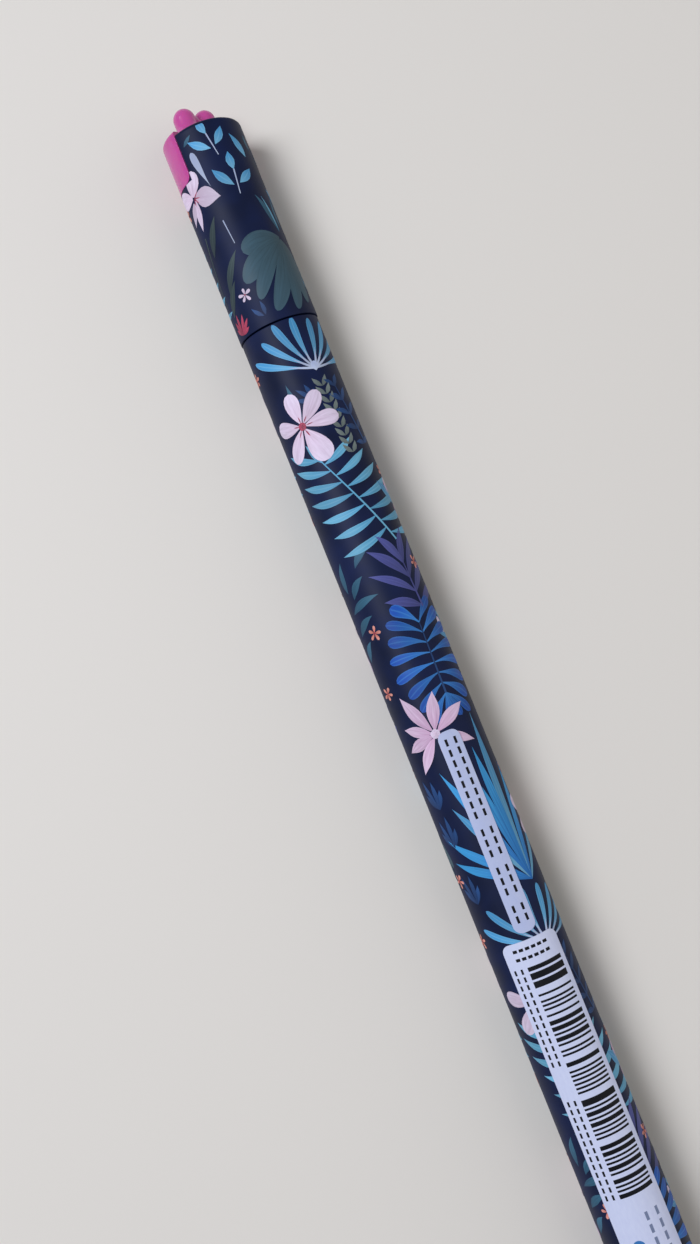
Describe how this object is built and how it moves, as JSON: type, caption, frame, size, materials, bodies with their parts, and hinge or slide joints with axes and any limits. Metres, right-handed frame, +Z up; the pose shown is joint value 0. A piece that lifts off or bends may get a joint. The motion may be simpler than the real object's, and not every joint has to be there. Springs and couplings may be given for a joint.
{
  "type": "gel pen",
  "caption": "Slim round capped gel pen lying on its side: printed tropical barrel and cap, pink blossom topper, wrapped labels, screw-in nose, refill and tail eraser.",
  "frame": {"origin": "middle of the bounding box's underside; the pen lies on its side on the table plane z = 0", "axes": "+X along the pen from the eraser to the blossom, +Z up through the labels, +Y to the left when the blossom points away from the viewer"},
  "size_m": [0.165, 0.0098, 0.0098],
  "materials": {
    "printed_skin": "soft-touch matt, tropical leaf and flower print on midnight navy",
    "topper_pink": "orchid pink, moulded, satin gloss",
    "bead_yellow": "warm yellow, moulded",
    "liner_white": "natural white, moulded",
    "seal_soft": "soft translucent elastomer",
    "moulded_navy": "navy, satin moulded",
    "eraser_rubber": "pink, matt rubber",
    "cushion_foam": "grey closed-cell foam",
    "label_paper": "coated white label with plain bars and dashes",
    "label_clear": "milky film label with plain dark dashes",
    "refill_clear": "clear extruded tube",
    "follower_grease": "pale yellow grease",
    "gel_ink": "dark blue gel ink",
    "tip_nickel": "turned nickel silver",
    "spring_steel": "drawn stainless wire",
    "ball_carbide": "ground tungsten carbide"
  },
  "bodies": {
    "barrel": {"barrel_tube": "printed_skin", "rear_plug": "moulded_navy", "eraser": "eraser_rubber", "refill_cushion": "cushion_foam", "price_label": "label_paper", "size_label": "label_clear"},
    "refill": {"refill_tube": "refill_clear", "refill_tail_plug": "liner_white", "grease_follower": "follower_grease", "ink_column": "gel_ink", "tip_holder": "liner_white", "metal_tip": "tip_nickel", "ball_spring": "spring_steel"},
    "nose": {"nose_cone": "moulded_navy"},
    "cap": {"cap_tube": "printed_skin", "blossom_topper": "topper_pink", "blossom_centre": "bead_yellow", "inner_cap": "liner_white", "nib_seal": "seal_soft"},
    "ball": {"writing_ball": "ball_carbide"}
  },
  "joints": [
    {"name": "nose_travel", "type": "slide", "parent": "barrel", "child": "refill", "axis": [1, 0, 0], "range_m": [0, 0.0055]},
    {"name": "nose_turn", "type": "hinge", "parent": "refill", "child": "nose", "pos_m": [0.05, 0, 0.00488], "axis": [1, 0, 0], "range_deg": [0, 1980]},
    {"name": "cap_pull", "type": "slide", "parent": "nose", "child": "cap", "axis": [1, 0, 0], "range_m": [0, 0.03]},
    {"name": "ball_roll", "type": "hinge", "parent": "refill", "child": "ball", "pos_m": [0.07149, 0, 0.00488], "axis": [0, 1, 0], "continuous": true}
  ],
  "couplings": [
    {"joint": "nose_turn", "follows": "nose_travel", "rad_per_m": 6283}
  ]
}
